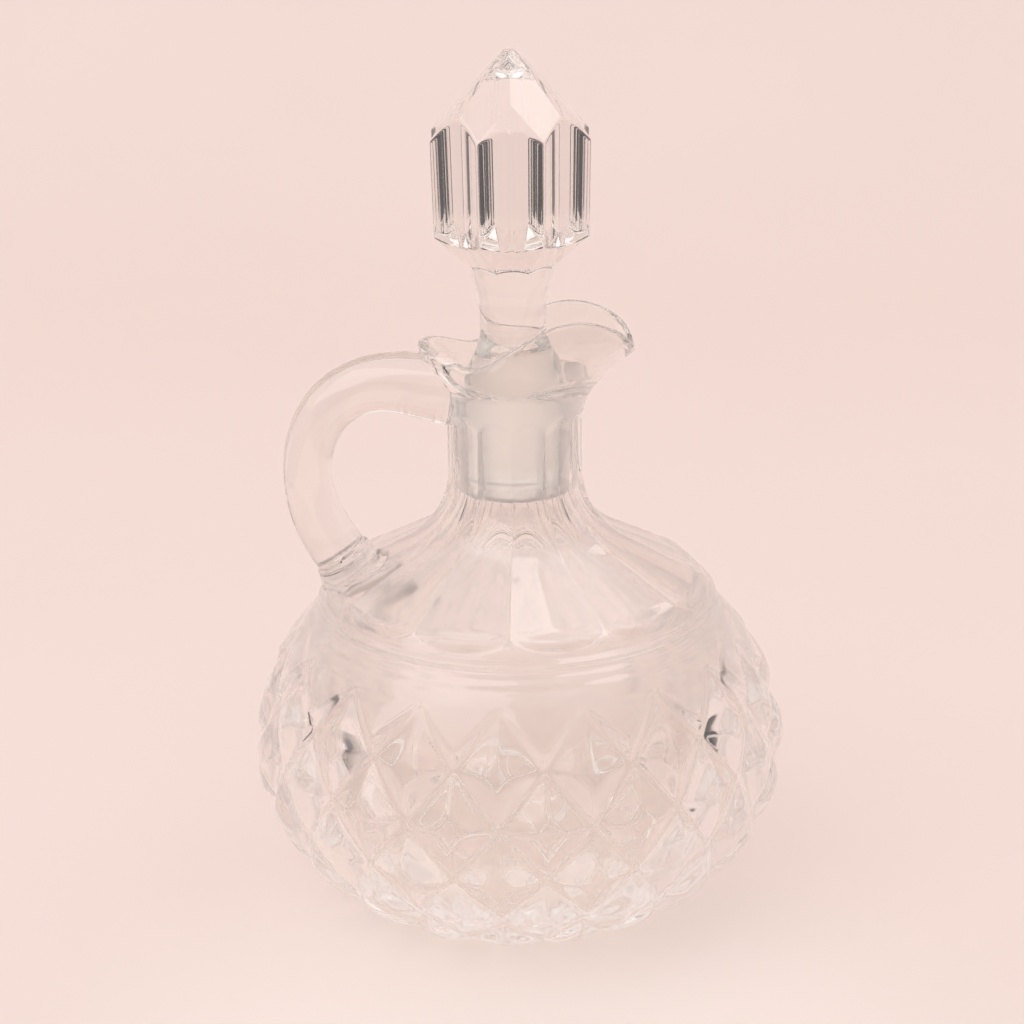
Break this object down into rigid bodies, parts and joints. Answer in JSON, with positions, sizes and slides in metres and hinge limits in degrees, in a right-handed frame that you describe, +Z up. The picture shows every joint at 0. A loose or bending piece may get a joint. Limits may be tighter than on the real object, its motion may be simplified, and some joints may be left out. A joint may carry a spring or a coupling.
{
  "type": "oil cruet",
  "caption": "Clear pressed-glass oil cruet with a diamond-point bowl, a pouring lip, an applied handle and a lift-out faceted stopper ground into its neck.",
  "frame": {"origin": "on the bowl's axis, on the face that the cruet stands on", "axes": "+Z up along the bowl, neck and stopper; +X towards the spout; the handle is on the -X side"},
  "size_m": [0.1004, 0.1002, 0.1591],
  "materials": {
    "vessel_glass": "clear pressed glass, fire polished, with crisp pressed points and flutes",
    "handle_glass": "clear glass rod, smooth",
    "stopper_glass": "clear glass with cut facets; the plug is ground matt"
  },
  "bodies": {
    "vessel": {"vessel": "vessel_glass", "handle": "handle_glass"},
    "stopper": {"stopper": "stopper_glass"}
  },
  "joints": [
    {"name": "stopper_lift", "type": "slide", "parent": "vessel", "child": "stopper", "axis": [0, 0, 1], "range_m": [0, 0.05]}
  ]
}
